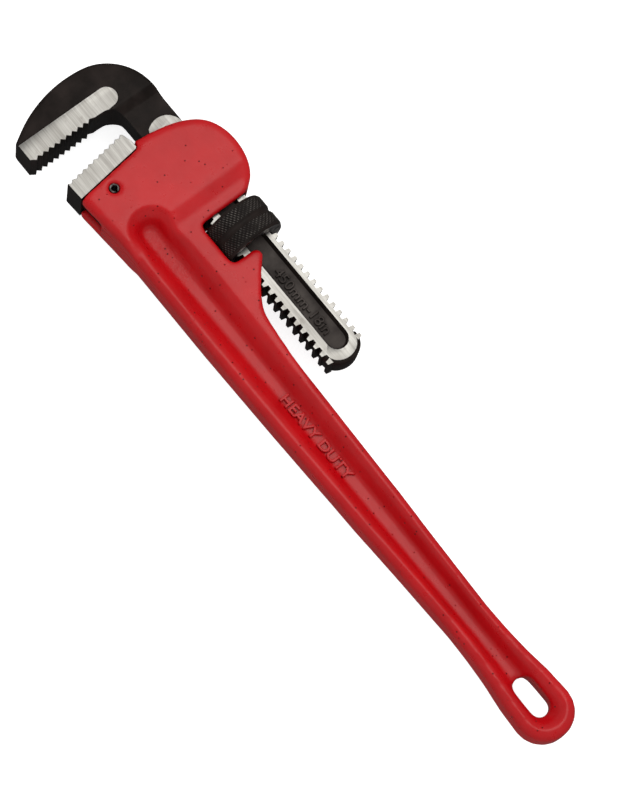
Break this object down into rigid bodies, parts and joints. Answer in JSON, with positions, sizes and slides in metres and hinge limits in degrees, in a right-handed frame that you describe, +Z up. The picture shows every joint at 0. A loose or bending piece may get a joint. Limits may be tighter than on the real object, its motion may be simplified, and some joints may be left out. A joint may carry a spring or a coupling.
{
  "type": "pipe wrench",
  "caption": "Straight pipe wrench with a sliding hook jaw on a threaded shank, a knurled adjusting nut, a pinned heel jaw and an I-section handle with a hanging slot.",
  "frame": {"origin": "centre of the bottom of the bounding box: the wrench lies on its side with its nut on the ground plane", "axes": "+X along the handle towards the hanging slot, +Y towards the back of the sliding jaw's shank, +Z up through the upper cheek of the head"},
  "size_m": [0.4048, 0.0884, 0.036],
  "materials": {
    "red_paint": "semi-gloss red enamel over a rough casting",
    "black_oxide": "satin black oxide, bright where it is ground",
    "ground_steel": "surface ground, with a blackened front end",
    "pin_steel": "bright spring steel",
    "spring_steel": "dull blued spring steel"
  },
  "bodies": {
    "handle": {"handle_housing": "red_paint", "heel_jaw": "ground_steel", "heel_jaw_pin": "pin_steel", "flat_spring_rivet": "spring_steel", "coil_spring": "spring_steel"},
    "rocker": {"flat_spring": "spring_steel"},
    "jaw": {"hook_jaw": "black_oxide"},
    "nut": {"adjusting_nut": "black_oxide"}
  },
  "joints": [
    {"name": "jaw_rock", "type": "hinge", "parent": "handle", "child": "rocker", "pos_m": [-0.10693, 0.00375, 0.018], "axis": [0, 0, 1], "range_deg": [0, 1.8], "stiffness_Nm_per_rad": 20, "springref_deg": -0.5, "deforming": ["coil_spring"]},
    {"name": "jaw_slide", "type": "slide", "parent": "rocker", "child": "jaw", "axis": [1, 0, 0], "range_m": [-0.05, 0.014]},
    {"name": "nut_spin", "type": "hinge", "parent": "rocker", "child": "nut", "pos_m": [-0.08808, 0.01865, 0.018], "axis": [1, 0, 0], "range_deg": [-1010, 3602]}
  ],
  "couplings": [
    {"joint": "nut_spin", "follows": "jaw_slide", "rad_per_m": -1256.6}
  ]
}
